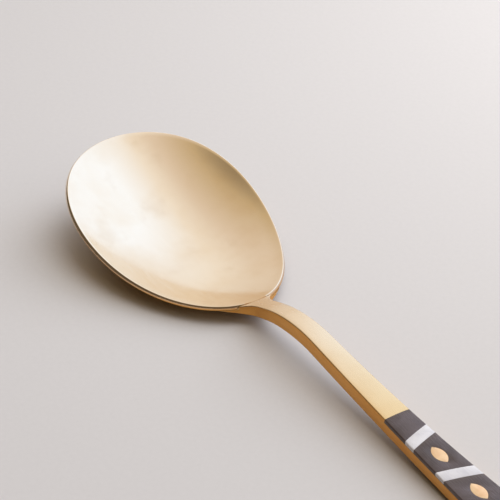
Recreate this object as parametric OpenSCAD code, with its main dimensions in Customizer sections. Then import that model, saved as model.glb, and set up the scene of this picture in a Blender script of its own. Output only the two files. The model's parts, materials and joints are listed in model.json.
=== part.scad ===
// Brass tablespoon: a pressed bowl brazed into the cradle of a flat bar, with a resin inlay bonded
// into a rebate along the handle. Millimetres. The spoon lies on the table, which is z = 0: its bowl
// touches with its lowest point and its handle with a level end. The bowl's tip points along -X and
// the origin is on the table, midway along the spoon.

/* [Bowl] */
// Length of the bowl's mouth, from its tip to the neck
mouth_l = 62.15; // [52:0.05:72]
// Width of the bowl's mouth
mouth_w = 45; // [38:0.5:52]
// Lean of the egg shape towards the tip, near 0 for an ellipse
egg_ratio = 0.165; // [0.02:0.005:0.25]
// Height of the rim above the table at the tip
tip_h = 16.3; // [13:0.1:22]
// Dip of the rim between its two ends
rim_dip = 2.5; // [0:0.1:4]
// Swing of the rim, which levels it out towards both ends
rim_swing = 2.75; // [0:0.05:4]
// Distance from the tip to the lowest point of the bowl
low_at = 39; // [30:0.5:44]
// Power of the bowl's hollow: 2 is a parabola, more is flatter below and steeper at the rim
fullness = 2.25; // [1.9:0.05:2.5]
// Thickness of the brass sheet
sheet_t = 1; // [0.7:0.05:1.3]
// Bulge of the rim's rounded edge
rim_round = 0.15; // [0.05:0.05:0.3]

/* [Bar] */
// Length of the spoon, from the mouth's tip to the handle's end
spoon_l = 200; // [185:1:215]
// Full thickness of the bar, which it reaches on the crest
bar_t = 3.65; // [2.6:0.05:4.2]
// Thickness of the bar at the neck
neck_t = 2.8; // [2.2:0.05:3.4]
// Length over which the bar grows from the neck to its full thickness
swell_l = 20; // [12:0.5:26]
// Width of the bar at the neck
neck_w = 4.55; // [3.6:0.05:6]
// Width that the flare reaches at the handle's end
end_w = 17.4; // [12:0.1:20]
// Power of the flare: 1 widens evenly, 2 widens mostly near the end
flare = 1.9; // [1.2:0.05:2.4]
// Angle at which the bar rises out of the bowl
rise_angle = 21.45; // [15:0.05:24]
// Length of the straight rise
rise_l = 6.5; // [4:0.1:10]
// Radius of the crest behind the rise, along the bar's top
crest_r = 38.5; // [30:0.5:55]
// Angle at which the handle falls behind the crest
fall_angle = 7.95; // [6.5:0.05:10.5]
// Length of the level end that lies on the table
rest_l = 29; // [12:1:40]
// Length of the rounding of the handle's end
end_round = 8; // [4:0.5:12]
// Height of the crown across the bar's top
crown = 0.15; // [0:0.05:0.4]
// Radius of the bar's long edges
edge_r = 0.3; // [0.1:0.05:0.6]

/* [Neck joint] */
// Length of the cradle's tongue under the bowl, seen from above
tongue_l = 11; // [8:0.5:15]
// Reach of the cradle's wings to each side, where they thin out along the rim
wing_w = 9; // [6:0.5:12]
// Power of the wings' taper: 1 thins evenly, more thins mostly beside the bar
wing_taper = 1; // [1:0.1:1.8]
// Radius of the fillets between the bar and the bowl, seen from above
neck_fillet = 5.5; // [1.5:0.1:7]
// Thickness of the braze between the bowl and its cradle
braze_t = 0.1; // [0.05:0.01:0.2]

/* [Inlay] */
// Distance along the bar from the bowl to the inlay
inlay_from = 53.5; // [45:0.5:70]
// Thickness of the inlay
inlay_t = 0.95; // [0.6:0.05:1.3]
// Thickness of the adhesive under the inlay
bond_t = 0.1; // [0.05:0.01:0.2]
// Number of pale bands across the inlay
band_count = 6; // [3:1:9]
// Width of a band along the bar
band_w = 3; // [1.5:0.1:4]
// Slant of the bands, which lean to one side and the other in turn
band_slant = 16; // [0:1:25]
// Length of a seed-shaped plug
seed_l = 5.4; // [3:0.1:6.5]
// Width of a seed-shaped plug
seed_w = 2.9; // [1.5:0.1:3.5]
// Gap round each plug and beside each band
inlay_gap = 0.03; // [0.02:0.01:0.06]

/* [Hidden] */
brass = "#d9c08f";
filler = "#c9b27c";
adhesive = "#e6e0cc";
ground_colour = "#5f5856";
band_colour = "#dcdce4";
seed_colour = "#e9c49c";

// Where the egg is widest, as the cosine of the angle round it, and its width there
egg_cos = (sqrt(1 + 8 * pow(egg_ratio, 2)) - 1) / (4 * egg_ratio);
egg_peak = sqrt(1 - pow(egg_cos, 2)) * (1 + egg_ratio * egg_cos);

// The path of the bar's top: a straight rise, the crest, one long hollow arc and the level end.
// It is measured along the bar from the neck, where it meets the bowl's inner edge.
degree = 180 / PI;
crest_s = rise_l + crest_r * (rise_angle + fall_angle) / degree;
rise_end = [rise_l * cos(rise_angle), rise_l * sin(rise_angle)];
crest_end = rise_end + crest_r * [sin(rise_angle) + sin(fall_angle), cos(fall_angle) - cos(rise_angle)];
long_r = (spoon_l - mouth_l - rest_l - crest_end.x) / sin(fall_angle);
long_s = crest_s + long_r * fall_angle / degree;
bar_l = long_s + rest_l;
neck_h = bar_t - crest_end.y + long_r * (1 - cos(fall_angle));

// [x, height, slope] of the bar's top at distance s from the neck
function path(s) =
    s <= rise_l ? [mouth_l + s * cos(rise_angle), neck_h + s * sin(rise_angle), rise_angle]
    : s <= crest_s ? let (a = rise_angle - (s - rise_l) / crest_r * degree)
        [mouth_l + rise_end.x + crest_r * (sin(rise_angle) - sin(a)),
         neck_h + rise_end.y + crest_r * (cos(a) - cos(rise_angle)), a]
    : s <= long_s ? let (a = (s - crest_s) / long_r * degree - fall_angle)
        [mouth_l + crest_end.x + long_r * (sin(a) + sin(fall_angle)),
         neck_h + crest_end.y - long_r * (cos(a) - cos(fall_angle)), a]
    : [spoon_l - bar_l + s, bar_t, 0];

// The bowl's inner surface, drawn on rings round its lowest point. Ring 0 is that point and ring 1 is
// the rim, an egg whose widest place lies towards the tip.
rings = 12;
spokes = 72;
function rim_h(x) = let (u = 2 * x / mouth_l - 1)
    (tip_h + neck_h) / 2 + (neck_h - tip_h) / 2 * u - rim_dip * (1 - u * u) - rim_swing * (u - pow(u, 3));
function rim(t) = let (x = mouth_l / 2 * (1 - cos(t)))
    [x, mouth_w / 2 * sin(t) * (1 + egg_ratio * cos(t)) / egg_peak, rim_h(x)];
low = [low_at, 0, sheet_t];
middle = [mouth_l / 2, mouth_w / 2, rim_h(mouth_l / 2) - sheet_t];
function hollow(ring, t) =
    let (share = 1 - pow(1 - ring * ring, 2), edge = rim(t) - low, lift = pow(ring, fullness),
         core = [-middle.x * cos(t), middle.y * sin(t), middle.z],
         reach = core * (1 - share) + edge * share)
    low + [ring * reach.x, ring * reach.y, lift * reach.z];

// Unit vectors at a place on that surface: upwards out of it, and outwards along it
probe = 0.001;
function unit(v) = v / norm(v);
function outwards(ring, t) = unit(hollow(ring, t) - hollow(ring - probe, t));
function upwards(ring, t) = unit(cross(outwards(ring, t), hollow(ring, t - 1) - hollow(ring, t + 1)));
function skin(ring, t, depth) = hollow(ring, t) - depth * upwards(ring, t);

// The cradle's edge runs along the rim's outer corner from the neck to the wing's end, and from there
// under the bowl to the tongue's tip. A place on the bowl is [distance along the bar, offset, depth].
function on_bar(p) = let (dx = p.x - mouth_l, dz = p.z - neck_h)
    [dx * cos(rise_angle) + dz * sin(rise_angle), p.y, dx * sin(rise_angle) - dz * cos(rise_angle)];
function cradle(ring, turn) = on_bar(skin(ring, 180 - turn, sheet_t));
near_angle = 12;
neck_end = cradle(1, 0);
near_end = cradle(1, near_angle);
neck_end_r = (pow(near_end.y, 2) / (neck_end.x - near_end.x) + neck_end.x - near_end.x) / 2;
function rim_turn(y) = asin(y / near_end.y * sin(near_angle));
tongue_ring = 1 - tongue_l / (mouth_l - low_at);
tongue_end = cradle(tongue_ring, 0);

// The neck fillets: arcs that touch the bar's edges and the rim's round end, seen from above
fillet_y = neck_w / 2 + neck_fillet;
fillet_to = neck_end.x - neck_end_r + sqrt(pow(neck_end_r + neck_fillet, 2) - pow(fillet_y, 2));
fillet_end_y = fillet_y * neck_end_r / (neck_end_r + neck_fillet);
fillet_from = fillet_to - sqrt(pow(neck_fillet, 2) - pow(fillet_y - fillet_end_y, 2));
function fillet_w(s) = 2 * (neck_fillet - sqrt(pow(neck_fillet, 2) - pow(max(0, fillet_to - s), 2)));

// Width of the bar behind the cradle: the fillets, the flare and the rounded end
function flare_w(s) = neck_w + (end_w - neck_w) * pow(max(0, s) / bar_l, flare);
function end_share(s) = sqrt(1 - pow(max(0, s - bar_l + end_round) / end_round, 2));
function bar_w(s) = (flare_w(s) + fillet_w(s)) * end_share(s);

// Depth of the bar's bottom: along its middle, where it swells behind the neck and tapers under the
// bowl, and at the cradle's edge, which thins out along the rim and ends inside the sheet
sunk = 0.15 * sheet_t;
lap = 2 * sunk;
wing_to = rim_turn(wing_w);
wing_end = cradle(1, wing_to);
function tongue_share(s) = max(0, fillet_from - s) / (fillet_from - tongue_end.x);
function bar_depth(s) = let (share = min(1, max(0, s) / swell_l))
    neck_t + (bar_t - neck_t) * pow(share, 2) * (3 - 2 * share);
function middle_depth(s) = bar_depth(s) - (neck_t - tongue_end.z + sunk) * pow(tongue_share(s), 2);
function wing_share(y) = max(0, 1 - max(0, y - neck_w / 2) / (wing_end.y - neck_w / 2));
function wing_depth(y) = wing_end.z - sunk + (neck_t - wing_end.z + sunk) * pow(wing_share(y), wing_taper);

// Places along the bar where its section is drawn, close together where it turns. Each is [distance,
// half of the width, depth of the top's edge, depth of the bottom's edge].
tongue_steps = 8;
wing_steps = 4;
fillet_steps = 4;
crest_steps = 12;
long_steps = 22;
end_steps = 8;
tongue_drawn = 0.97;
end_drawn = 0.998;
wing_from = rim_turn(fillet_end_y);
function cradle_place(ring, turn) = let (p = cradle(ring, turn))
    [p.x, p.y, p.z - lap, ring < 1 ? p.z - sunk : max(p.z - sunk, wing_depth(p.y))];
function bar_place(s) = let (half = bar_w(s) / 2)
    [s, half, crown, s < fillet_to ? wing_depth(half) : bar_depth(s)];
function fillet_s(share) = fillet_from + (fillet_to - fillet_from) * (1 - cos(90 * share));
stations = concat(
    [for (i = [tongue_steps:-1:1]) let (a = 90 * tongue_drawn * i / tongue_steps)
        cradle_place(1 - (1 - tongue_ring) * sin(a), wing_to * cos(a))],
    [for (i = [wing_steps:-1:1])
        cradle_place(1, wing_from + (wing_to - wing_from) * i / wing_steps)],
    [for (i = [0:fillet_steps]) bar_place(fillet_s(i / fillet_steps))],
    [for (i = [0:crest_steps]) bar_place(rise_l + (crest_s - rise_l) * i / crest_steps)],
    [for (i = [1:long_steps]) bar_place(crest_s + (bar_l - end_round - crest_s) * i / long_steps)],
    [for (i = [1:end_steps])
        bar_place(bar_l - end_round + end_round * end_drawn * sin(90 * i / end_steps))]);
last_s = stations[len(stations) - 1][0];

// Half of the bar's section as [offset, depth], from the middle of its top to the middle of its bottom.
// The bottom is flat in its middle and sweeps up to the wings' edges.
crown_steps = 3;
corner_steps = 3;
sweep_steps = 4;
flat_share = 0.4;
function half_section(place) =
    let (w = place[1], top = place[2], bottom = place[3], middle = middle_depth(place[0]),
         r = min(edge_r, (bottom - top) / 4, w / 2), side = w - r, shoulder = top * pow(side / w, 2),
         flat = min(side, neck_w) * flat_share)
    concat(
        [for (i = [0:crown_steps]) [side * i / crown_steps, shoulder * pow(i / crown_steps, 2)]],
        [for (i = [1:corner_steps]) let (a = 90 * i / corner_steps)
            [side + r * sin(a), shoulder + r * (1 - cos(a))]],
        [for (i = [0:corner_steps]) let (a = 90 * i / corner_steps)
            [side + r * cos(a), bottom - r + r * sin(a)]],
        [for (i = [1:sweep_steps]) let (share = i / sweep_steps)
            [side + (flat - side) * share, bottom + (middle - bottom) * pow(share, wing_taper)]]);
function mirrored(half) = [for (i = [len(half) - 1:-1:0]) [-half[i].x, half[i].y]];
function bar_section(place) =
    let (half = half_section(place), other = mirrored(half))
    concat(half, [for (i = [0:len(other) - 2]) other[i]]);
function slab_section(s, top, bottom) =
    let (w = bar_w(s) / 2 + slab_margin)
    [[w, top], [w, bottom], [-w, bottom], [-w, top]];
slab_margin = 1;

// A solid that follows the bar through a list of sections, each with the same number of points
function placed(s, section) = let (p = path(s))
    [for (q = section) [p.x + q.y * sin(p.z), q.x, p.y - q.y * cos(p.z)]];
module loft(at, sections) {
    n = len(sections[0]);
    last = len(at) - 1;
    points = [for (k = [0:last]) each placed(at[k], sections[k])];
    sides = [for (k = [0:last - 1], i = [0:n - 1]) let (a = k * n + i, b = k * n + (i + 1) % n)
        each [[a, b, b + n], [a, b + n, a + n]]];
    ends = [[for (i = [n - 1:-1:0]) i], [for (i = [0:n - 1]) last * n + i]];
    polyhedron(points, concat(sides, ends), convexity = 4);
}

// A stretch of the bar, and the part of a stretch of the inlay's rebate between two depths
module bar(from = tongue_end.x, to = bar_l) {
    at = [for (p = stations) if (p[0] >= from - stretch_margin && p[0] <= to + stretch_margin) p];
    loft([for (p = at) p[0]], [for (p = at) bar_section(p)]);
}
module slab(top, bottom, from = inlay_from, to = bar_l) {
    start = max(inlay_from, from - stretch_margin);
    end = to + stretch_margin;
    at = concat([start], [for (p = stations) if (p[0] > start && p[0] < end) p[0]], [end]);
    loft(at, [for (s = at) slab_section(min(s, last_s), top, bottom)]);
}
stretch_margin = 2 * (bar_l - end_round - crest_s) / long_steps;
above = -2;

// Faces of a stack of closed rings of points, each followed by the next, between two end points
function ring_faces(count, n) = concat(
    [for (i = [0:n - 1]) [0, 1 + (i + 1) % n, 1 + i]],
    [for (k = [0:count - 2], i = [0:n - 1]) let (a = 1 + k * n + i, b = 1 + k * n + (i + 1) % n)
        each [[a, b, b + n], [a, b + n, a + n]]],
    [for (i = [0:n - 1]) let (a = 1 + (count - 1) * n) [a + i, a + (i + 1) % n, 1 + count * n]]);
module ring_solid(start, loops, end) {
    points = concat([start], [for (loop = loops) each loop], [end]);
    polyhedron(points, ring_faces(len(loops), len(loops[0])), convexity = 6);
}
turns = [for (i = [0:spokes - 1]) 360 * i / spokes];
function loop(ring, depth) = [for (t = turns) skin(ring, t, depth)];

// The rim's rounded edge, grown by a margin, as loops from its lower corner to its upper one
edge_steps = 4;
function edge_loop(i, margin) =
    let (share = i / edge_steps, bulge = rim_round * 4 * share * (1 - share), depth = (1 - share) * sheet_t)
    [for (t = turns) skin(1, t, depth + (i == 0 ? margin : 0)) + (bulge + margin) * outwards(1, t)];
function edge_loops(margin) = [for (i = [0:edge_steps]) edge_loop(i, margin)];

// The space that the bowl fills and encloses, grown by a margin, up to a lid above the tip
module bowl_space(margin) {
    lid = tip_h + bar_t;
    below = [for (k = [1:rings - 1]) loop(k / rings, sheet_t + margin)];
    top = [for (p = edge_loop(edge_steps, margin)) [p.x, p.y, lid]];
    loops = concat(below, edge_loops(margin), [top]);
    ring_solid(low - [0, 0, sheet_t + margin], loops, [low.x, low.y, lid]);
}

module bowl() {
    outside = [for (k = [1:rings - 1]) loop(k / rings, sheet_t)];
    inside = [for (k = [rings - 1:-1:1]) loop(k / rings, 0)];
    color(brass)
        centred()
            ring_solid(low - [0, 0, sheet_t], concat(outside, edge_loops(0), inside), low);
}

module stem() {
    color(brass)
        centred()
            difference() {
                bar();
                slab(above, inlay_t + bond_t);
                bowl_space(braze_t);
            }
}

module braze_joint() {
    color(filler)
        centred()
            difference() {
                intersection() {
                    bar(to = fillet_to);
                    bowl_space(braze_t);
                }
                bowl_space(0);
            }
}

module bond_film() {
    color(adhesive)
        centred()
            intersection() {
                bar(from = inlay_from);
                slab(inlay_t, inlay_t + bond_t);
            }
}

// The inlay: bands at even steps along the handle, with panels of the ground between them
inlay_x = path(inlay_from).x;
pitch = (spoon_l - inlay_x) / (band_count + 1 / 2);
lead = pitch / 2;
strip_y = end_w;
strip_h = path(inlay_from).y + slab_margin;
function band_x(i) = inlay_x + lead + (i - 1) * pitch;
function lean(i) = strip_y * tan(band_slant) * (i % 2 == 0 ? 1 : -1);

// A strip across the handle between two places, each with its own lean
module strip(x0, lean0, x1, lean1) {
    linear_extrude(strip_h)
        polygon([[x0 - lean0, -strip_y], [x1 - lean1, -strip_y],
                 [x1 + lean1, strip_y], [x0 + lean0, strip_y]]);
}
// The stretch of the inlay that holds the places between x0 and x1, before it is cut into pieces
module inlay(x0, x1) {
    from = x0 - spoon_l + bar_l;
    to = x1 - spoon_l + bar_l;
    intersection() {
        bar(from, to);
        slab(above, inlay_t, from, to);
    }
}

module band(i) {
    color(band_colour)
        centred()
            intersection() {
                inlay(band_x(i), band_x(i) + band_w);
                strip(band_x(i), lean(i), band_x(i) + band_w, lean(i));
            }
}

function ground_x0(i) = i == 1 ? inlay_x : band_x(i - 1) + band_w + inlay_gap;
function ground_x1(i) = i > band_count ? spoon_l : band_x(i) - inlay_gap;
module ground(i) {
    first = i == 1;
    last = i > band_count;
    color(ground_colour)
        centred()
            difference() {
                intersection() {
                    inlay(ground_x0(i), ground_x1(i));
                    strip(first ? inlay_x - lead : ground_x0(i), first ? 0 : lean(i - 1),
                          last ? spoon_l + lead : ground_x1(i), last ? 0 : lean(i));
                }
                if (!first && !last)
                    seed_prism(i - 1, inlay_gap);
            }
}

// A seed-shaped prism between two bands: two round sides that meet in points along the bar
seed_count = band_count - 1;
function seed_x(i) = (band_x(i) + band_w + band_x(i + 1)) / 2;
module seed_prism(i, margin) {
    half_l = seed_l / 2;
    half_w = seed_w / 2;
    r = (pow(half_l, 2) + pow(half_w, 2)) / (2 * half_w);
    translate([seed_x(i), 0, 0])
        intersection_for (side = [-1, 1])
            translate([0, side * (r - half_w), 0])
                cylinder(r = r + margin, h = strip_h, $fn = 96);
}

module seed(i) {
    color(seed_colour)
        centred()
            intersection() {
                inlay(seed_x(i) - seed_l / 2, seed_x(i) + seed_l / 2);
                seed_prism(i, 0);
            }
}

// Moves the spoon so that the origin lies midway between the rim's outer edge and the handle's end
middle_x = (skin(1, 0, sheet_t).x + path(last_s).x) / 2;
module centred() {
    translate([-middle_x, 0, 0])
        children();
}

bowl();
stem();
braze_joint();
bond_film();
for (i = [1:band_count])
    band(i);
for (i = [1:band_count + 1])
    ground(i);
for (i = [1:seed_count])
    seed(i);
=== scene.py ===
# %% [markdown]
# # A brass tablespoon with a resin inlay
#
# The spoon is a pressed brass bowl brazed to a flat brass bar, with dark, white and peach resin
# set flush in the bar's top. The CAD model already has every piece at its true size, so this lesson
# is about surfaces: how a satin metal catches soft light and how a polished resin sits beside it.
# We load the CAD model as a fixed frame.

# %% Load the frame
import json
import math

import bpy
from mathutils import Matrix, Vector

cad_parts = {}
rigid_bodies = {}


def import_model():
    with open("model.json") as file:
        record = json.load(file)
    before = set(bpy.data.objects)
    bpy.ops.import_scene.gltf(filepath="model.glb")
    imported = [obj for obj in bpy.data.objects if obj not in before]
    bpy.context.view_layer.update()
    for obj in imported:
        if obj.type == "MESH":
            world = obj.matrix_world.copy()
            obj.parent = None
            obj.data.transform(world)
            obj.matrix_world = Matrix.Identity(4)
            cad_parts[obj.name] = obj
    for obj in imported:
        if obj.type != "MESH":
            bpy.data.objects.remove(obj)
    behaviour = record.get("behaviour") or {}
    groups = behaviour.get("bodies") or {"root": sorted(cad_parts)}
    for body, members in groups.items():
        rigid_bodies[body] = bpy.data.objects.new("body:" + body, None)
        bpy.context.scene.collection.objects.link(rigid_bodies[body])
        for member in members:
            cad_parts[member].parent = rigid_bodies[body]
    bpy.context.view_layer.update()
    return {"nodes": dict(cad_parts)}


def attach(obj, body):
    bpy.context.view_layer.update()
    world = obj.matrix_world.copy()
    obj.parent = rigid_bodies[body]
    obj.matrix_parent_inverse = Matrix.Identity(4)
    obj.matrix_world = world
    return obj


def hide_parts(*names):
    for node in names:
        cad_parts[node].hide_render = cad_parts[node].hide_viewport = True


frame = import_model()
MM = 0.001

# %% [markdown]
# ## A working copy of a CAD piece
#
# A CAD node arrives as loose triangles, and it has to stay as it is. So we never edit it: we put a
# copy of its mesh in a new object, merge the vertices that lie on each other, and work on the copy.
# Merging comes first because no operator can round or smooth a seam whose two sides don't share
# their vertices.

# %% Copy and merge
MERGE = 0.002 * MM


def pick(piece):
    """Makes one object the only selected one and the active one, so that operators act on it."""
    for other in bpy.context.selected_objects:
        other.select_set(False)
    piece.select_set(True)
    bpy.context.view_layer.objects.active = piece


def merged_copy(node, name):
    """A new object with a merged copy of a CAD node's mesh, selected and active."""
    mesh = frame["nodes"][node].data.copy()
    mesh.materials.clear()
    piece = bpy.data.objects.new(name, mesh)
    bpy.context.scene.collection.objects.link(piece)
    pick(piece)
    bpy.ops.mesh.customdata_custom_splitnormals_clear()
    bpy.ops.object.mode_set(mode="EDIT")
    bpy.ops.mesh.select_all(action="SELECT")
    bpy.ops.mesh.remove_doubles(threshold=MERGE)
    bpy.ops.object.mode_set(mode="OBJECT")
    return piece


bowl = merged_copy("bowl", "brass_bowl")
print("bowl copy:", len(bowl.data.vertices), "vertices,", len(bowl.data.polygons), "faces")

# %% [markdown]
# ## The pressed bowl
#
# The real bowl is one sheet of brass, pressed to a hollow. The CAD bowl could be shaded as it is, but
# a satin hollow is a mirror, and its flat triangles would show in the reflections. Sheet metal is
# easiest to model the way it is made: keep one skin, make it smooth, then give it the sheet's
# thickness. We mark the two sharp loops of the rim as seams, grow a selection from the hollow's lowest
# face up to those seams, and delete all that isn't in it. Joining the triangles to quads lets the
# subdivision run smoothly.

# %% Keep the inner skin
RIM_CORNER = math.radians(50)
FACING_UP = 0.9
# How far two triangles may fold and skew and still be joined to one quad
QUAD_FOLD = math.radians(40)
QUAD_SKEW = math.radians(60)


def select_sharp_edges():
    """Goes to edit mode and selects the sharp edges of the active piece, and nothing else."""
    bpy.ops.object.mode_set(mode="EDIT")
    bpy.ops.mesh.select_mode(type="EDGE")
    bpy.ops.mesh.select_all(action="DESELECT")
    bpy.ops.mesh.edges_select_sharp(sharpness=RIM_CORNER)


select_sharp_edges()
bpy.ops.mesh.mark_seam(clear=False)
bpy.ops.mesh.select_all(action="DESELECT")
bpy.ops.mesh.select_mode(type="FACE")
bpy.ops.object.mode_set(mode="OBJECT")

upward = [f for f in bowl.data.polygons if f.normal.z > FACING_UP]
lowest = min(upward, key=lambda f: f.center.z)
lowest.select = True
bpy.ops.object.mode_set(mode="EDIT")
bpy.ops.mesh.select_linked(delimit={"SEAM"})
bpy.ops.mesh.select_all(action="INVERT")
bpy.ops.mesh.delete(type="FACE")
bpy.ops.mesh.select_all(action="SELECT")
bpy.ops.mesh.tris_convert_to_quads(face_threshold=QUAD_FOLD, shape_threshold=QUAD_SKEW)
bpy.ops.object.mode_set(mode="OBJECT")
quads = sum(len(f.vertices) == 4 for f in bowl.data.polygons)
print("inner skin:", quads, "quads,", len(bowl.data.polygons) - quads, "other faces")

# %% [markdown]
# Subdividing first and thickening after keeps both skins equally smooth and the sheet equally thick.
# A modifier is a recipe that Blender can still change, so we apply each one to get plain faces that
# the next step can work on.

# %% Smooth and thicken the sheet
SHEET = 1.0 * MM


def apply_modifier(piece, kind, **settings):
    """Adds one modifier with its settings to a piece and applies it."""
    pick(piece)
    made = piece.modifiers.new(kind.title(), kind)
    for key, value in settings.items():
        setattr(made, key, value)
    bpy.ops.object.modifier_apply(modifier=made.name)


apply_modifier(bowl, "SUBSURF", levels=2, render_levels=2)
apply_modifier(bowl, "SOLIDIFY", thickness=SHEET, offset=-1, use_even_offset=True, use_rim=True)
NECK_X = max(v.co.x for v in bowl.data.vertices)
print("sheet:", len(bowl.data.polygons), "faces, neck at x =", round(NECK_X / MM, 2), "mm")

# %% [markdown]
# The rim of a pressed spoon is buffed round by hand, which is what gives it a thin line in the light,
# so the two corners of the new edge get a bevel of about a sixth of the sheet. Where the rim meets the
# neck it was brazed and dressed flush, so there the bevel fades out. A bevel with an angle limit would
# round the whole rim alike. So each rim edge gets a bevel weight, which falls to nothing by the neck.

# %% Round the rim
RIM_ROUND = 0.16 * MM
NECK_HALF = 3.0 * MM
NECK_REACH = 10.0 * MM
FADE = 4.0 * MM
SMOOTH_RIM = math.radians(50)


def rim_weight(edge):
    """The share of the bevel that a rim edge gets: all of it, apart from the edges by the neck."""
    start, end = [bowl.data.vertices[v].co for v in edge.vertices]
    middle = (start + end) / 2
    if middle.x <= NECK_X - NECK_REACH:
        return 1.0
    return min(1.0, max(0.0, (abs(middle.y) - NECK_HALF) / FADE))


select_sharp_edges()
bpy.ops.object.mode_set(mode="OBJECT")
rim_edges = [e for e in bowl.data.edges if e.select]
weights = bowl.data.attributes.new("bevel_weight_edge", "FLOAT", "EDGE")
for e in rim_edges:
    weights.data[e.index].value = rim_weight(e)
apply_modifier(bowl, "BEVEL", width=RIM_ROUND, segments=3, limit_method="WEIGHT")
bpy.ops.object.shade_smooth_by_angle(angle=SMOOTH_RIM)
print("bowl:", len(bowl.data.polygons), "faces, lowest point",
      round(min(v.co.z for v in bowl.data.vertices) / MM, 3), "mm")

# %% [markdown]
# ## The bar
#
# The handle is a bar drawn thin at the neck and flat towards its end, and the neck opens in two
# wings under the bowl. Its edges are already eased in the CAD model, so the copy only needs smooth
# shading. Shading by angle keeps the few true corners, at the step for the inlay, sharp.

# %% Smooth the bar
SMOOTH_FLAT = math.radians(32)

stem = merged_copy("stem", "brass_stem")
bpy.ops.object.shade_smooth_by_angle(angle=SMOOTH_FLAT)
print("stem:", len(stem.data.polygons), "faces")

# %% [markdown]
# ## The inlay
#
# Each panel, band and seed is cast and fitted on its own, then all are sanded flush together. That
# leaves a hair's breadth of softened edge on every piece, and the eye reads it as a joint line. A
# material could paint that line, but a bevel of a few hundredths of a millimetre catches the light
# from every side. The bevel's angle limit leaves the gentle crown of the handle alone.

# %% Ease the edges of the resin
EASED = 0.05 * MM
EASED_CORNER = math.radians(45)
RESIN_KINDS = ("ground", "band", "seed")


def kind_of(node):
    """The name of a node without its number."""
    return node.rsplit("_", 1)[0]


resin = {}
for node in sorted(frame["nodes"]):
    if kind_of(node) in RESIN_KINDS:
        piece = merged_copy(node, "resin_" + node)
        apply_modifier(piece, "BEVEL", width=EASED, segments=2, limit_method="ANGLE",
                       angle_limit=EASED_CORNER)
        bpy.ops.object.shade_smooth_by_angle(angle=SMOOTH_FLAT)
        resin[node] = piece
print("resin pieces:", len(resin))

# %% [markdown]
# ## Every piece joins the frame
#
# Nothing on this spoon moves, so all pieces ride on the one body. Each new piece stands for its CAD
# node, which is hidden.

# %% Ride and replace
pieces = [(bowl, "bowl", "brass"), (stem, "stem", "brass")]
pieces += [(piece, node, kind_of(node)) for node, piece in resin.items()]
for piece, node, slot in pieces:
    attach(piece, "root")
    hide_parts(node)
print("pieces on the frame:", len(pieces))

# %% [markdown]
# ## Tools for materials
#
# A colour is easiest to judge as it looks on a screen, so colours are written as sRGB hex and turned
# to the linear values that the renderer works in. One helper adds a node, sets its properties and
# sockets, and links its inputs. With it a material reads from the top down like a recipe.

# %% Colour and node helpers
# A Mix node has sockets for numbers, vectors and colours: these are the places of the colour ones
A, B, MIXED = 6, 7, 2
COLOURS = {"data_type": "RGBA"}
EASE = {"interpolation_type": "SMOOTHSTEP"}


def colour(hex_code):
    """Linear colour from an sRGB hex code."""
    parts = [int(hex_code[i:i + 2], 16) / 255 for i in (1, 3, 5)]
    return [c / 12.92 if c <= 0.04045 else ((c + 0.055) / 1.055) ** 2.4 for c in parts] + [1.0]


def add(tree, kind, props=None, values=None, links=None):
    """One new node: its properties, its socket values and the sockets that feed it."""
    made = tree.nodes.new("ShaderNode" + kind)
    for key, value in (props or {}).items():
        setattr(made, key, value)
    for key, value in (values or {}).items():
        made.inputs[key].default_value = value
    for key, value in (links or {}).items():
        tree.links.new(value, made.inputs[key])
    return made


def new_material(name):
    """An empty node material, with its tree."""
    made = bpy.data.materials.new(name)
    made.use_nodes = True
    made.node_tree.nodes.clear()
    return made, made.node_tree


def per_mm(size):
    """Texture scale, in metres, that gives a pattern of this size in millimetres."""
    return 1 / (size * MM)


print("screen grey #808080 in linear light:", round(colour("#808080")[0], 3))

# %% [markdown]
# ## Satin brass
#
# Brass that is buffed and used has a pale, soft sheen on its open faces. The deeper gold on its
# narrow edges and the brown on faces that look down are painted shade and painted reflection of the
# darker table: lit and shaded tones of one brass. Those edges could be painted on the mesh one by one.
# A recipe that reads the surface's own direction finds them all by itself: faces that look sideways
# get a deeper tone, and faces that look down turn brown. The bar is paler by the neck and more golden
# towards the inlay, so its tone changes along its length too.

# %% The tone of clean brass, with painted shade
INLAY_X = min(v.co.x for v in resin["ground_1"].data.vertices)
# Brown painted on faces that look down: painted shade, as if they mirrored the table's shadow
UNDERSIDE_SHADE = "#B58A4A"
# The normal's upward share, from where a face is painted brown shade all over to where that painted
# shade ends
LOOKS_DOWN = (-0.5, -0.15)


def brass_tone_and_shade(tree, place, up, edge, by_neck, by_inlay, side_shade):
    """The tone from the neck to the inlay, with painted shade: deeper on the edges and brown on faces
    that look down. Up and edge are sockets: the normal's upward share, and how much of an edge a point
    is."""
    along = add(tree, "SeparateXYZ", links={0: place}).outputs["X"]
    fade = add(tree, "MapRange", links={"Value": along},
               values={"From Min": NECK_X, "From Max": INLAY_X})
    open_face = add(tree, "Mix", COLOURS, {A: colour(by_neck), B: colour(by_inlay)},
                    {"Factor": fade.outputs[0]})
    # Faces that look sideways take the side tone: painted shade, not a colour of the metal
    shaded_sides = add(tree, "Mix", COLOURS, {B: colour(side_shade)},
                 {"Factor": edge, A: open_face.outputs[MIXED]})
    # Faces that look down fade to the underside brown: painted shade
    under = add(tree, "MapRange", EASE, links={"Value": up},
                values={"From Min": LOOKS_DOWN[0], "From Max": LOOKS_DOWN[1],
                        "To Min": 1.0, "To Max": 0.0})
    tone = add(tree, "Mix", COLOURS, {B: colour(UNDERSIDE_SHADE)},
               {"Factor": under.outputs[0], A: shaded_sides.outputs[MIXED]})
    return tone.outputs[MIXED]


print("brass changes in tone from x =", round(NECK_X / MM, 1), "to", round(INLAY_X / MM, 1), "mm")

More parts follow.
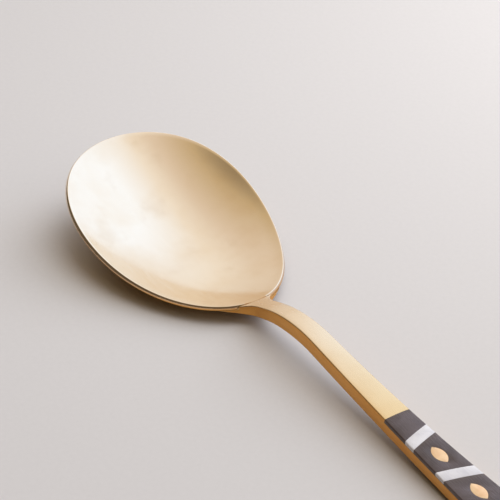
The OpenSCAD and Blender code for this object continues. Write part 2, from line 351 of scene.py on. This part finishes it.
# %% [markdown]
# No used metal is even. Two kinds of wear change its colour: wide patches where the buffing was
# lighter, about a thumb across, and soft smudges of tarnish, a few millimetres wide and far apart.
# Both are noise with most of its range cut off, so that clean metal is left between them. They stay
# faint: the eye should see a used spoon, and not a dirty one.

# %% Wear on the brass
PATCH_SIZE = 14
PATCH_TINT = "#F0DFC4"
SMUDGE_SIZE = 9
SMUDGE_TINT = "#BC8C40"


def worn(tree, place, tone):
    """The tone with patches of lighter buffing and smudges of tarnish over it."""
    patch = add(tree, "TexNoise", links={"Vector": place},
                values={"Scale": per_mm(PATCH_SIZE), "Detail": 3.0, "Roughness": 0.55})
    dull = add(tree, "MapRange", links={"Value": patch.outputs[0]},
               values={"From Min": 0.45, "From Max": 0.75, "To Min": 0.0, "To Max": 0.35})
    buffed = add(tree, "Mix", {**COLOURS, "blend_type": "MULTIPLY"}, {B: colour(PATCH_TINT)},
                 {"Factor": dull.outputs[0], A: tone})
    smudge = add(tree, "TexNoise", links={"Vector": place},
                 values={"Scale": per_mm(SMUDGE_SIZE), "Detail": 4.0, "Roughness": 0.5})
    brown = add(tree, "MapRange", EASE, links={"Value": smudge.outputs[0]},
                values={"From Min": 0.56, "From Max": 0.76, "To Min": 0.0, "To Max": 0.12})
    tarnished = add(tree, "Mix", COLOURS, {B: colour(SMUDGE_TINT)},
                    {"Factor": brown.outputs[0], A: buffed.outputs[MIXED]})
    return tarnished.outputs[MIXED]


print("wear: patches of", PATCH_SIZE, "mm and smudges of", SMUDGE_SIZE, "mm")

# %% [markdown]
# The last kind of wear is the brush marks, which run along the spoon. An anisotropic shader could
# stretch the highlights the same way, but it would hide the single marks. Noise that is stretched
# along the spoon shows them. It changes the roughness and the relief rather than the colour, because
# a mark shows by how it scatters the light. The bowl was buffed more than the bar, so it is smoother,
# and the edges of the bar are the dullest.

# %% The brass recipe
# How far the brush marks move the roughness down and up
BRUSH_SPREAD = (-0.04, 0.06)


def brass(name, by_neck, by_inlay, side_shade, edges, rough, dull_edge, grain):
    """Satin brass. Its tone deepens, as painted shade, and its roughness grows by dull_edge where the
    normal's upward share falls through the range edges. Grain is the size in millimetres of the brush
    marks along x, y and z."""
    made, tree = new_material(name)
    place = add(tree, "TexCoord").outputs["Object"]
    normal = add(tree, "NewGeometry").outputs["Normal"]
    up = add(tree, "SeparateXYZ", links={0: normal}).outputs["Z"]
    edge = add(tree, "MapRange", EASE, links={"Value": up},
               values={"From Min": edges[0], "From Max": edges[1], "To Min": 1.0, "To Max": 0.0})
    tone = brass_tone_and_shade(tree, place, up, edge.outputs[0], by_neck, by_inlay, side_shade)
    # Real brush marks are finer than a pixel, so these are drawn coarser
    stretch = add(tree, "Mapping", links={"Vector": place},
                  values={"Scale": [per_mm(g) for g in grain]})
    brush = add(tree, "TexNoise", links={"Vector": stretch.outputs[0]},
                values={"Scale": 1.0, "Detail": 2.5, "Roughness": 0.55})
    gloss = add(tree, "MapRange", links={"Value": brush.outputs[0]},
                values={"From Min": 0.3, "From Max": 0.7,
                        "To Min": rough + BRUSH_SPREAD[0], "To Max": rough + BRUSH_SPREAD[1]})
    dulled = add(tree, "Math", {"operation": "MULTIPLY_ADD"}, {1: dull_edge},
                 {0: edge.outputs[0], 2: gloss.outputs[0]})
    bump = add(tree, "Bump", links={"Height": brush.outputs[0]},
               values={"Strength": 0.06, "Distance": 0.02 * MM})
    surface = add(tree, "BsdfPrincipled", values={"Metallic": 1.0},
                  links={"Base Color": worn(tree, place, tone), "Roughness": dulled.outputs[0],
                         "Normal": bump.outputs[0]})
    add(tree, "OutputMaterial", links={"Surface": surface.outputs[0]})
    return made


# Buffed brass: the eye sees a pale, blurred mirror of the room in the hollow, with a darker gold
# painted as shade on the steep walls and the rim's edge
bowl.data.materials.append(brass(
    "satin_brass_bowl", by_neck="#F3E6D3", by_inlay="#F3E6D3", side_shade="#DDA050",
    edges=(0.15, 0.5), rough=0.11, dull_edge=0.1, grain=(6.0, 0.6, 0.6)))
# Brushed brass: the eye sees an even sheen on the top and a soft gold painted as shade on the sides
stem.data.materials.append(brass(
    "brushed_brass_bar", by_neck="#F2E4D2", by_inlay="#ECD0A0", side_shade="#E3AA5E",
    edges=(0.4, 0.85), rough=0.22, dull_edge=0.3, grain=(9.0, 0.5, 0.5)))
print("brass on", bowl.name, "and", stem.name)

# %% [markdown]
# ## The braze and the adhesive
#
# Two films hold the spoon together, and only their edges show. The braze is melted metal that was
# dressed flush: a little yellower than the bowl and grainy. The adhesive is a cured clear-yellow
# resin, almost matt where it was sanded. Both are mottled, so they share one recipe. The CAD nodes
# of the films are fine as they are and only get the finish.

# %% Filler metal and adhesive
def film(name, first, second, grain, detail, gloss, relief, metallic):
    """A film mottled in two tones. Grain is the size of the mottling in millimetres, gloss is the
    range of the roughness, and relief is the strength of the bump and its depth in millimetres."""
    made, tree = new_material(name)
    place = add(tree, "TexCoord").outputs["Object"]
    mottled = add(tree, "TexNoise", links={"Vector": place},
                  values={"Scale": per_mm(grain), "Detail": detail}).outputs[0]
    tint = add(tree, "Mix", COLOURS, {A: colour(first), B: colour(second)}, {"Factor": mottled})
    rough = add(tree, "MapRange", links={"Value": mottled},
                values={"To Min": gloss[0], "To Max": gloss[1]})
    bump = add(tree, "Bump", links={"Height": mottled},
               values={"Strength": relief[0], "Distance": relief[1] * MM})
    surface = add(tree, "BsdfPrincipled", values={"Metallic": metallic},
                  links={"Base Color": tint.outputs[MIXED], "Roughness": rough.outputs[0],
                         "Normal": bump.outputs[0]})
    add(tree, "OutputMaterial", links={"Surface": surface.outputs[0]})
    return made


films = {
    # Filler metal: the eye sees a fine, grainy, yellower line between bowl and neck
    "braze_joint": film("brazing_filler", "#D9AE68", "#EBCB94", grain=0.4, detail=4.0,
                        gloss=(0.3, 0.5), relief=(0.2, 0.03), metallic=1.0),
    # Adhesive: the eye sees a dull amber line beside the inlay
    "bond_film": film("cured_adhesive", "#7A5A30", "#94713F", grain=1.5, detail=3.0,
                      gloss=(0.45, 0.65), relief=(0.15, 0.02), metallic=0.0),
}
for node, finish in films.items():
    mesh = frame["nodes"][node].data
    mesh.materials.clear()
    mesh.materials.append(finish)
print("films:", [f.name for f in films.values()])

# %% [markdown]
# ## Polished resin
#
# Cast resin is never one flat colour: pigment drifts in it while it cures and leaves soft clouds. One
# colour would look like paint and strong veins like stone, so noise mixes two tones that are close to
# each other. The polish is high but not perfect, with hairline marks from wiping along the handle.
# All three resins share one recipe and differ in their tones, in how wide the clouds are and in their
# polish.

# %% The resin recipe
# Size in millimetres along x, y and z, drawn wider than real wiping marks so that they show
WIPED_MARKS = (6.0, 0.4, 0.4)
# How far the marks move the roughness down and up
WIPED_SPREAD = (-0.05, 0.08)


def cast_resin(name, first, second, cloud_size, rough):
    """Polished cast resin with two pigment tones in clouds of a size in millimetres."""
    made, tree = new_material(name)
    place = add(tree, "TexCoord").outputs["Object"]
    cloud = add(tree, "TexNoise", links={"Vector": place},
                values={"Scale": per_mm(cloud_size), "Detail": 3.0, "Distortion": 0.6})
    drift = add(tree, "MapRange", links={"Value": cloud.outputs[0]},
                values={"From Min": 0.35, "From Max": 0.65})
    tint = add(tree, "Mix", COLOURS, {A: colour(first), B: colour(second)},
               {"Factor": drift.outputs[0]})
    stretch = add(tree, "Mapping", links={"Vector": place},
                  values={"Scale": [per_mm(g) for g in WIPED_MARKS]})
    wiped = add(tree, "TexNoise", links={"Vector": stretch.outputs[0]},
                values={"Scale": 1.0, "Detail": 3.0})
    gloss = add(tree, "MapRange", links={"Value": wiped.outputs[0]},
                values={"From Min": 0.3, "From Max": 0.7,
                        "To Min": rough + WIPED_SPREAD[0], "To Max": rough + WIPED_SPREAD[1]})
    bump = add(tree, "Bump", links={"Height": wiped.outputs[0]},
               values={"Strength": 0.06, "Distance": 0.02 * MM})
    surface = add(tree, "BsdfPrincipled",
                  links={"Base Color": tint.outputs[MIXED], "Roughness": gloss.outputs[0],
                         "Normal": bump.outputs[0]})
    add(tree, "OutputMaterial", links={"Surface": surface.outputs[0]})
    return made


finishes = {
    # Dark resin: the eye sees a warm grey that a soft sheen lifts a little
    "ground": cast_resin("dark_resin", "#4A3D3C", "#5C5052", cloud_size=5.0, rough=0.25),
    # White resin: the eye sees a cool, pearly band
    "band": cast_resin("pearl_white_resin", "#D4D3DA", "#E2E1E6", cloud_size=3.0, rough=0.22),
    # Peach resin: the eye sees a warm, bright spot on the dark
    "seed": cast_resin("peach_resin", "#EBC193", "#F5D3A8", cloud_size=2.5, rough=0.22),
}
for node, piece in resin.items():
    piece.data.materials.append(finishes[kind_of(node)])
print("resins:", [f.name for f in finishes.values()])

# %% [markdown]
# ## The studio
#
# The spoon lies on a plain pale table top. A curved backdrop would suit one view only. A plane that is
# wide enough fills the view from any side. It lies a hair below the spoon, so that the two surfaces
# never share a plane and flicker.

# %% Table top
TABLE_SIZE = 6.0
TABLE_DROP = 0.02 * MM

bpy.ops.mesh.primitive_plane_add(size=TABLE_SIZE, location=(0, 0, -TABLE_DROP))
floor = bpy.context.object
floor.name = "table_top"
# Matt table top: the eye sees a soft, even, pale grey that takes the shadow
pale, tree = new_material("pale_table_top")
place = add(tree, "TexCoord").outputs["Object"]
mottled = add(tree, "TexNoise", links={"Vector": place}, values={"Scale": per_mm(1.2), "Detail": 3.0})
tint = add(tree, "Mix", COLOURS, {A: colour("#D1CFD0"), B: colour("#D6D4D5")},
           {"Factor": mottled.outputs[0]})
matt = add(tree, "BsdfPrincipled", links={"Base Color": tint.outputs[MIXED]},
           values={"Roughness": 0.9, "Specular IOR Level": 0.2})
add(tree, "OutputMaterial", links={"Surface": matt.outputs[0]})
floor.data.materials.append(pale)
print("table top:", floor.name, "of", TABLE_SIZE, "m")

# %% [markdown]
# The camera stands where the photo was taken from: to the handle's side of the spoon, looking down at
# about 33 degrees through a long lens. Directions in the picture are the easiest way to think about
# the light, so we keep two of them: to the right, and away from the camera along the table.

# %% Camera
CAMERA_AT = Vector((333.906, -257.518, 323.618)) * MM
CAMERA_TURN = [math.radians(a) for a in (55.975, -0.348, 55.693)]
SENSOR_WIDTH = 36
LENS = 176.22
NEAREST = 10 * MM

bpy.ops.object.camera_add(location=CAMERA_AT, rotation=CAMERA_TURN)
camera = bpy.context.object
camera.data.sensor_width = SENSOR_WIDTH
camera.data.lens = LENS
camera.data.clip_start = NEAREST
bpy.context.scene.camera = camera
right = Vector((math.cos(CAMERA_TURN[2]), math.sin(CAMERA_TURN[2]), 0))
away = Vector((-right.y, right.x, 0))
print("camera with a lens of", round(camera.data.lens, 2), "mm")

# %% [markdown]
# A small lamp behind the spoon, to the right, stands for a window and gives the shadows their
# direction, and a wide lamp overhead softens them. A satin bowl is a mirror of the room, and a lamp
# would show in it as a hard white patch. So neither lamp shows in reflections, and the metal mirrors
# only a soft room that the world shader paints around it.

# %% Lamps
LIT_POINT = Vector((-60, 0, 10)) * MM


def towards(turn, height):
    """The direction turn degrees to the right of straight away, and height degrees up."""
    turn, height = math.radians(turn), math.radians(height)
    level = math.cos(turn) * away + math.sin(turn) * right
    return math.cos(height) * level + Vector((0, 0, math.sin(height)))


def soft_lamp(name, aim, distance, size, radiance):
    """A square lamp that faces the bowl from the direction aim. Lengths are in metres."""
    bpy.ops.object.light_add(type="AREA", location=LIT_POINT + distance * aim)
    lamp = bpy.context.object
    lamp.name = name
    lamp.rotation_euler = aim.to_track_quat("Z", "Y").to_euler()
    lamp.data.shape = "SQUARE"
    lamp.data.size = size
    lamp.data.energy = radiance * math.pi * size * size
    lamp.visible_glossy = False
    return lamp


window = soft_lamp("window", towards(50, 33), distance=0.28, size=0.2, radiance=2.3)
ceiling = soft_lamp("ceiling", towards(60, 75), distance=0.8, size=0.6, radiance=1.7)
for lamp in (window, ceiling):
    print(lamp.name, "lamp of", round(lamp.data.energy, 2), "W")

# %% [markdown]
# The room itself is a soft gradient: cool and bright on the window's side, dim and warm towards the
# camera. A picture of a room could give it, but it would put sharp shapes in the metal. A world shader
# can grade the whole sphere from one direction: the nearer a ray looks to the bright side, the further
# along a colour ramp it lands.

# %% Grade the room
ROOM = [(0.47, (0.05, 0.035, 0.02)), (0.60, (0.46, 0.355, 0.215)), (0.72, (0.59, 0.50, 0.41)),
        (0.82, (0.72, 0.68, 0.63)), (0.96, (0.815, 0.905, 1.06))]
BRIGHT_SIDE = towards(55, 30)

world = bpy.data.worlds.new("soft_room")
bpy.context.scene.world = world
world.use_nodes = True
tree = world.node_tree
tree.nodes.clear()
ray = add(tree, "TexCoord").outputs["Generated"]
near = add(tree, "VectorMath", {"operation": "DOT_PRODUCT"}, {1: list(BRIGHT_SIDE)}, {0: ray})
along = add(tree, "MapRange", links={"Value": near.outputs["Value"]},
            values={"From Min": -1.0, "From Max": 1.0})
ramp = add(tree, "ValToRGB", links={"Fac": along.outputs[0]})
ramp.color_ramp.interpolation = "LINEAR"
stops = ramp.color_ramp.elements
while len(stops) < len(ROOM):
    stops.new(0.5)
for stop, (position, tint) in zip(stops, ROOM):
    stop.position = position
    stop.color = (*tint, 1)
print("room light:", len(ROOM), "tones from", ROOM[0][1], "to", ROOM[-1][1])

# %% [markdown]
# Light that comes in low would wash out the shadow under the bowl, so the walls are dim near the
# table. The metal's reflections skip that and never fall to black, because a real room always has
# something in it that catches a little light. The plain view transform shows the colours as they
# were chosen.

# %% Dim the low walls and light the room
LOW_WALL = 0.15
WALL_FOOT, WALL_TOP = 0.02, 0.22
DIMMEST_MIRRORED = (0.09, 0.068, 0.044, 1)
ROOM_STRENGTH = 1.34

rise = add(tree, "SeparateXYZ", links={0: ray}).outputs["Z"]
low = add(tree, "MapRange", EASE, links={"Value": rise},
          values={"From Min": WALL_FOOT, "From Max": WALL_TOP, "To Min": LOW_WALL, "To Max": 1.0})
walls = add(tree, "Mix", {**COLOURS, "blend_type": "MULTIPLY"}, {"Factor": 1.0},
            {A: ramp.outputs[0], B: low.outputs[0]})
mirrored = add(tree, "Mix", {**COLOURS, "blend_type": "LIGHTEN"},
               {"Factor": 1.0, B: DIMMEST_MIRRORED}, {A: ramp.outputs[0]})
glossy = add(tree, "LightPath").outputs["Is Glossy Ray"]
room = add(tree, "Mix", COLOURS,
           links={"Factor": glossy, A: walls.outputs[MIXED], B: mirrored.outputs[MIXED]})
glow = add(tree, "Background", values={"Strength": ROOM_STRENGTH},
           links={"Color": room.outputs[MIXED]})
add(tree, "OutputWorld", links={"Surface": glow.outputs[0]})
bpy.context.scene.view_settings.view_transform = "Standard"
print("world:", world.name, "with", len(tree.nodes), "nodes")
